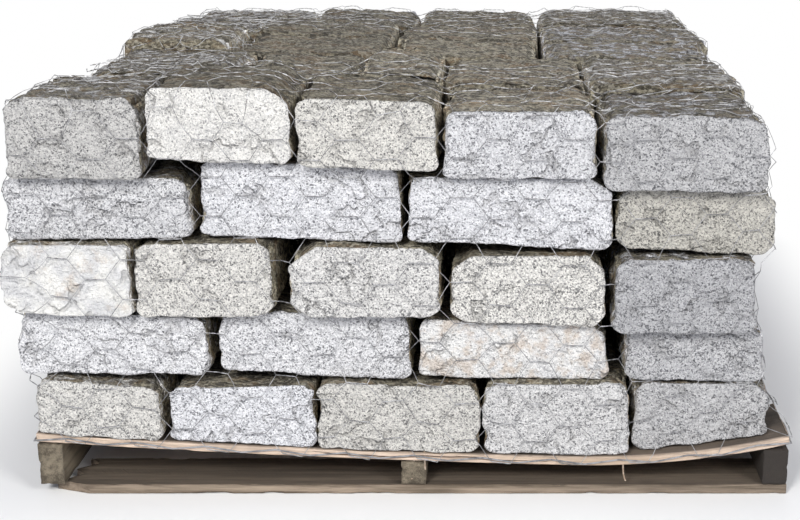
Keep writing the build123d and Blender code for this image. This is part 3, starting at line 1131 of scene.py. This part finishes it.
# %% Height of the edge wire
def edge_wire_heights(samples=90):
    """The netting starts at the edge wire, which sags with the deck."""
    wire = np.array([vert.co[:] for vert in nodes["netting_selvage"].data.vertices])
    u = np.linspace(0, PERIMETER, samples, endpoint=False)
    place, _ = at_outline(u)
    nearest = np.argmin(((place[:, None] - wire[None, :, :2]) ** 2).sum(-1), axis=1)
    return np.append(u, PERIMETER), np.append(wire[nearest, 2], wire[nearest[0], 2])


wire_places, wire_heights = edge_wire_heights()
RISE = RIM_HEIGHT - wire_heights.min()
print("edge wire from", round(wire_heights.min(), 3), "to", round(wire_heights.max(), 3), "m up")


def sheet_base(u, w):
    """A point and outward direction of the smooth box, u round it and w up and over it."""
    place, side = at_outline(u)
    start = np.interp(np.mod(u, PERIMETER), wire_places, wire_heights)
    up = np.clip(w / RISE, 0, 1)
    angle = np.clip((w - RISE) / RIM_RADIUS, 0, pi / 2)
    inward = np.clip(w - RISE - RIM_RADIUS * pi / 2, 0, None)
    back = RIM_RADIUS * (1 - np.cos(angle)) + inward
    height = start + up * (RIM_HEIGHT - start) + RIM_RADIUS * np.sin(angle)
    points = np.concatenate([place - side * back[..., None], height[..., None]], -1)
    normals = np.concatenate([side * np.cos(angle)[..., None], np.sin(angle)[..., None]], -1)
    return points, normals


# %% [markdown]
# ## Rays and rest
# The rays start outside the load and look inwards along the smooth box's own directions.
# Each hit says how far the load stands out there. The grid of rays is twice as fine as the
# sheet, and the sheet takes the highest of the places near each of its own, so that no
# sharp corner slips through a mesh of the netting.

# %% Rays on the stones
def load_tree():
    whole = bmesh.new()
    for piece in stone_pieces + timber:
        whole.from_mesh(piece.data)
    whole.from_mesh(nodes["netting_selvage"].data)
    tree = BVHTree.FromBMesh(whole)
    whole.free()
    return tree


RAY_START = 0.11
RAY_LENGTH = 0.21
SHEET_STEP = 0.010
SHEET_SPARE = 0.06
SINK = -0.10
RIM_END = RISE + RIM_RADIUS * pi / 2
load = load_tree()
sheet_columns = int(PERIMETER / SHEET_STEP)
step_round = PERIMETER / sheet_columns
sheet_length = RIM_END + max(TOP_REACH.values()) + SHEET_SPARE
sheet_rows = int(sheet_length / SHEET_STEP) + 1
print("the sheet has", sheet_columns, "x", sheet_rows, "places")
print("up the side and over the top it is", round(sheet_length, 3), "m long")


def obstacle_heights(fine):
    """How far the load stands out of the smooth box, on a grid this many times as fine."""
    u = np.arange(sheet_columns * fine) * step_round / fine
    w = np.arange(sheet_rows * fine) * SHEET_STEP / fine
    grid_u, grid_w = np.meshgrid(u, w, indexing="ij")
    points, normals = sheet_base(grid_u, grid_w)
    starts = points + normals * RAY_START
    found = np.full(grid_u.shape, SINK)
    for i in range(found.shape[0]):
        for j in range(found.shape[1]):
            hit = load.ray_cast(Vector(starts[i, j]), Vector(-normals[i, j]), RAY_LENGTH)
            if hit[0] is not None:
                found[i, j] = RAY_START - hit[3]
    return found


def slid(values, step):
    """The sheet moved along by one step, its last row kept at the edge."""
    moved = np.roll(values, step, 1)
    edge = 0 if step > 0 else -1
    moved[:, edge] = values[:, edge]
    return moved


def highest_near(values):
    """The highest of each place and its eight neighbours."""
    along = np.maximum(np.maximum(values, slid(values, 1)), slid(values, -1))
    return np.maximum(np.maximum(along, np.roll(along, 1, 0)), np.roll(along, -1, 0))


obstacle = highest_near(obstacle_heights(2))[::2, ::2]
print("places of the sheet with load behind them:", round(np.mean(obstacle > SINK) * 100), "%")

# %% Relax the sheet
RELAX_ROUNDS = 900
PULL = 0.0016


def membrane(obstacle, rounds):
    """Pulls the sheet tight: each point sinks to the mean of its neighbours or to the load."""
    u = np.arange(sheet_columns) * step_round
    w = np.arange(sheet_rows) * SHEET_STEP
    base, normals = sheet_base(*np.meshgrid(u, w, indexing="ij"))
    height = obstacle.copy()
    for _ in range(rounds):
        points = base + normals * height[..., None]
        mean = np.roll(points, 1, 0) + np.roll(points, -1, 0) + slid(points, 1) + slid(points, -1)
        sunk = ((mean / 4 - base) * normals).sum(-1) - PULL
        sunk[:, 0] = obstacle[:, 0]
        height = np.maximum(obstacle, sunk)
    return height


CLEARANCE = 0.0034
drape = membrane(obstacle, RELAX_ROUNDS) + CLEARANCE
print("drape:", drape.shape, "stands out", round(drape.min(), 3), "to", round(drape.max(), 3))


def on_sheet(u, w, lift):
    """Points of the draped sheet, between its places by the shares of the four round them."""
    i, j = np.mod(u / step_round, sheet_columns), np.clip(w / SHEET_STEP, 0, sheet_rows - 1.001)
    i0, j0 = i.astype(int), j.astype(int)
    a, b = i - i0, j - j0
    i0, i1 = i0 % sheet_columns, (i0 + 1) % sheet_columns
    height = (
        drape[i0, j0] * (1 - a) * (1 - b)
        + drape[i1, j0] * a * (1 - b)
        + drape[i0, j0 + 1] * (1 - a) * b
        + drape[i1, j0 + 1] * a * b
    )
    points, normals = sheet_base(u, w)
    return points + normals * (height + lift)[..., None]


# %% [markdown]
# ## The netting's wires
# Hexagonal netting is woven from long wires. Each one zigzags up the roll and is twisted
# with the neighbour on one side, then with the neighbour on the other. The zigzags and the
# twists are drawn as lines on the sheet, and a node tree gives them their wire: a zigzag
# gets a round profile, and a twist gets two round profiles side by side that turn as they go.

# %% Profiles of the wires
TWIST_POINTS = 7


def wire_profiles(paper, radius):
    """A round profile for one wire, and two side by side for a twisted pair."""
    round_wire, strand = (
        paper.node(
            "GeometryNodeCurvePrimitiveCircle", {}, {"Resolution": sides, "Radius": radius}
        )
        for sides in (4, 3)
    )
    strands = []
    for side in (-1, 1):
        aside = paper.node("ShaderNodeCombineXYZ", {}, {0: radius * side})
        placed = {"Geometry": strand, "Translation": aside}
        strands.append(paper.node("GeometryNodeTransform", {}, placed))
    return round_wire, paper.node("GeometryNodeJoinGeometry", {}, {0: strands})


# %% Tree for twisted wire
def wire_tree():
    tree, paper, sizes = new_tree("twisted wire", ["Wire", "Turns"])
    split = {"Geometry": sizes["Geometry"], "Selection": paper.stored("twist")}
    twists, zigzags = (
        paper.node("GeometryNodeSeparateGeometry", {"domain": "POINT"}, split, output)
        for output in (0, 1)
    )
    round_wire, pair = wire_profiles(paper, sizes["Wire"] * 0.5)
    zigzag_lines = paper.node("GeometryNodeMeshToCurve", {}, {0: zigzags})
    twist_lines = paper.node("GeometryNodeMeshToCurve", {}, {0: twists})
    twist_lines = paper.node(
        "GeometryNodeResampleCurve", {}, {"Curve": twist_lines, "Count": TWIST_POINTS}
    )
    turn = paper.node("GeometryNodeSplineParameter") * sizes["Turns"] * (2 * pi)
    twist_lines = paper.node("GeometryNodeSetCurveTilt", {}, {"Curve": twist_lines, "Tilt": turn})
    tubes = []
    for line, profile in ((zigzag_lines, round_wire), (twist_lines, pair)):
        parts = {"Curve": line, "Profile Curve": profile, "Fill Caps": True}
        tubes.append(paper.node("GeometryNodeCurveToMesh", {}, parts))
    end_tree(paper, paper.node("GeometryNodeJoinGeometry", {}, {0: tubes}), sizes["Material"])
    return tree


twisted_wire = wire_tree()

# %% [markdown]
# ## Zinc
# New zinc on netting is bright, and it dulls in patches as it weathers. The folded ends on top
# have more of both, and their brightest patches are also painted glints of the light on the wires,
# so one attribute mixes two pairs of greys. The metal is kept a little rough, because fine wires
# that mirror the lamps would glitter.

# %% Galvanised wire
ZINC_BRIGHT, ZINC_DULL = (0.46, 0.46, 0.485, 1), (0.22, 0.22, 0.23, 1)
FOLDED_BRIGHT_AND_GLINT, FOLDED_DULL = (0.58, 0.58, 0.60, 1), (0.15, 0.14, 0.135, 1)
ZINC_RELIEF = 0.0003


def galvanised():
    made, paper = new_material("galvanised wire")
    place = paper.node("ShaderNodeTexCoord", output=3)
    dull = place.noise(0.016, 3.0, 0.6)
    # The folded wires' bright patches are partly painted glints; the dull ones are weathered zinc.
    folded = dull.between(0.44, 0.58).mix(FOLDED_BRIGHT_AND_GLINT, FOLDED_DULL)
    hanging = dull.between(0.35, 0.65).mix(ZINC_BRIGHT, ZINC_DULL)
    colour = paper.attribute("folded").mix(hanging, folded)
    grain = place.noise(0.002)
    surface(paper, colour, 0.34 + 0.2 * dull, grain, ZINC_RELIEF, metallic=0.85)
    return made


wire_material = galvanised()
edge_wire = nodes["netting_selvage"]
edge_wire.data.materials.clear()
edge_wire.data.materials.append(wire_material)
print("the edge wire wears", edge_wire.data.materials[0].name)

# %% [markdown]
# ## Laying the netting
# The hexagons are pulled out of true where the roll was dragged tight, and on top the
# folded-in ends lie crumpled over each other, so the places of the wires are stirred by a
# smooth noise that grows past the rim.

# %% Sizes of the netting
COLUMN_PITCH = 0.047
ROW_PITCH = 0.056
TWIST_LENGTH = 0.027
WIRE = 0.00095
SLANT_POINTS = 3
columns = 2 * round(PERIMETER / COLUMN_PITCH / 2)
pitch = PERIMETER / columns
rows_up = int((RIM_END + max(TOP_REACH.values())) / ROW_PITCH)
SIDE_NAMES = ("front", "right", "back", "left")
print("the netting is", columns, "wires round and", rows_up, "hexagons up")

# %% Stir the wires
SLOW_NOISE, QUICK_NOISE = 1.2, 3.1
STIR_FADE = 0.08


def side_of(u):
    """Which of the four sides a place round the load is on, and if it is at a corner."""
    _, normal = at_outline(np.array([u]))
    x, y = normal[0]
    side = int(np.argmax([-y, x, y, -x]))
    return side, max(abs(x), abs(y)) < 0.999


def stir(u, w, seed):
    """The shift round, the shift along and the lift of one point of the netting."""
    past = min(max((w - RISE) / STIR_FADE, 0), 1)
    angle = 2 * pi * u / PERIMETER
    spot = Vector((cos(angle) * 2.2, sin(angle) * 2.2, w * 3 + seed))
    slow = noise.noise_vector(spot * SLOW_NOISE)
    quick = noise.noise_vector(spot * QUICK_NOISE)
    # In each pair, the reach on the sides and what the top adds to it, in metres
    shift_u = slow.x * (0.010 + 0.030 * past) + quick.x * (0.004 + 0.014 * past)
    shift_w = slow.y * (0.008 + 0.050 * past) + quick.y * (0.004 + 0.020 * past)
    lift = abs(quick.z) * (0.0005 + 0.0055 * past) + past * 0.012 * max(0, slow.z)
    return shift_u, shift_w, lift


# Without a seed of its own this noise is another one in each run
noise.seed_set(3)
for title, w in (("side", 0.2), ("top", RIM_END + STIR_FADE)):
    print("stirred on the", title, "by", [round(part / mm, 1) for part in stir(0.5, w, 0)], "mm")

# %% Lines of the netting
def column_lines(column, u, top_w):
    """The twists of one wire, marked 1, and its zigzag, marked 0, on the flat sheet."""
    lines, zigzag = [], []
    for half_row in range(2 * rows_up + 2):
        w = half_row / 2 * ROW_PITCH
        if w > top_w:
            break
        if half_row % 2 == column % 2:
            ends = (u - TWIST_LENGTH / 2, u + TWIST_LENGTH / 2)
            lines.append((1, [(ends[0], w), (u, w), (ends[1], w)]))
            zigzag.append((ends[1], w))
        else:
            zigzag.append((u + pitch - TWIST_LENGTH / 2, w))
    path = [zigzag[0]]
    for start, end in zip(zigzag, zigzag[1:]):
        for step in range(1, SLANT_POINTS + 1):
            t = step / SLANT_POINTS
            path.append(tuple(a + (b - a) * t for a, b in zip(start, end)))
    return [*lines, (0, path)]


print("a wire that goes 0.4 m up has", len(column_lines(0, 0.0, 0.4)) - 1, "twists")

# %% Lay the netting
SIDE_SEED = 10
EDGE_FADE = 0.05


def netting_side(side, name):
    """The wires of one side: the zigzags and twists whose column starts there."""
    lines = []
    for column in range(columns):
        u = (column + 0.5) * pitch
        if side_of(u)[0] != side:
            continue
        corner = side_of(u)[1] or side_of(u + pitch)[1]
        top_w = RIM_END + (CORNER_REACH if corner else TOP_REACH[name])
        lines += column_lines(column, u, top_w)
    flat = np.array([point for _, path in lines for point in path])
    moves = np.array([stir(u, w, SIDE_SEED * (side % 2)) for u, w in flat])
    loose = np.clip(flat[:, 1] / EDGE_FADE, 0, 1)
    points = on_sheet(
        flat[:, 0] + moves[:, 0], flat[:, 1] + moves[:, 1] * loose, moves[:, 2] * loose
    )
    edges, twist, count = [], [], 0
    for is_twist, path in lines:
        edges += [(count + i, count + i + 1) for i in range(len(path) - 1)]
        twist += [is_twist] * len(path)
        count += len(path)
    piece = new_piece(f"netting_{name}", points, [], edges)
    add_values(piece, "twist", twist)
    add_values(piece, "folded", smooth_step(flat[:, 1], RISE, RIM_END + 0.02))
    applied(piece, twisted_wire, {"Wire": WIRE, "Turns": 1.5, "Material": wire_material})
    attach(piece, "root")
    return piece


netting = [netting_side(side, name) for side, name in enumerate(SIDE_NAMES)]
print_triangles("netting", netting)

# %% [markdown]
# ## Bent nails
# Two thin bent things hang below the front board at the middle stringer and one more in the
# right opening. They look like nails that came askew, so each is a short line that bends
# towards its tip, and the tree of the wires gives it its thickness.

# %% Lines of the nails
# X of the nail, how far it reaches down and how far its tip leans, in millimetres
HANGING_NAILS = [(1, 27, -4), (15, 25, 1), (284, 24, 4)]
NAIL_INSET = 0.004
NAIL_THICKNESS = 0.0028
NAIL_LEAN_BACK = 0.003
# At each point of a nail, the shares of its lean and of its reach. The first point is up in
# the board instead, by this many metres.
NAIL_BEND = [(0, 0.004), (0.05, -0.3), (0.25, -0.65), (0.6, -0.88), (1, -1)]


def nail_paths():
    paths = []
    corners = board_corners("deck_board_1")
    front = corners[:, 1].min() + NAIL_INSET
    for x, reach, lean in np.array(HANGING_NAILS) * mm:
        start = corners[np.argmin(abs(corners[:, 0] - x))][2]
        path = []
        for leaned, reached in NAIL_BEND:
            drop = reach * reached if reached < 0 else reached
            path.append((x + lean * leaned, front - NAIL_LEAN_BACK * leaned, start + drop))
        paths.append(path)
    return paths


print("the tips of the nails hang at", [round(path[-1][2], 3) for path in nail_paths()], "m")

# %% Bent nails
NAIL_BROWN, NAIL_PALE = (0.30, 0.22, 0.16, 1), (0.50, 0.42, 0.34, 1)
NAIL_RELIEF = 0.0002


def rusty_nail():
    made, paper = new_material("rusty nail")
    patches = paper.node("ShaderNodeTexCoord", output=3).noise(0.004, 3.0, 0.6)
    colour = patches.between(0.4, 0.6).mix(NAIL_BROWN, NAIL_PALE)
    surface(paper, colour, 0.6 + 0.2 * patches, patches, NAIL_RELIEF, metallic=0.4)
    return made


def bent_nails():
    points = [point for path in nail_paths() for point in path]
    each = len(NAIL_BEND)
    edges = [(i, i + 1) for i in range(len(points)) if (i + 1) % each]
    piece = new_piece("bent_nails", points, [], edges)
    add_values(piece, "twist", [0] * len(points))
    applied(
        piece, twisted_wire, {"Wire": NAIL_THICKNESS, "Turns": 0.0, "Material": rusty_nail()}
    )
    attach(piece, "root")
    return piece


print_triangles("nails", [bent_nails()])
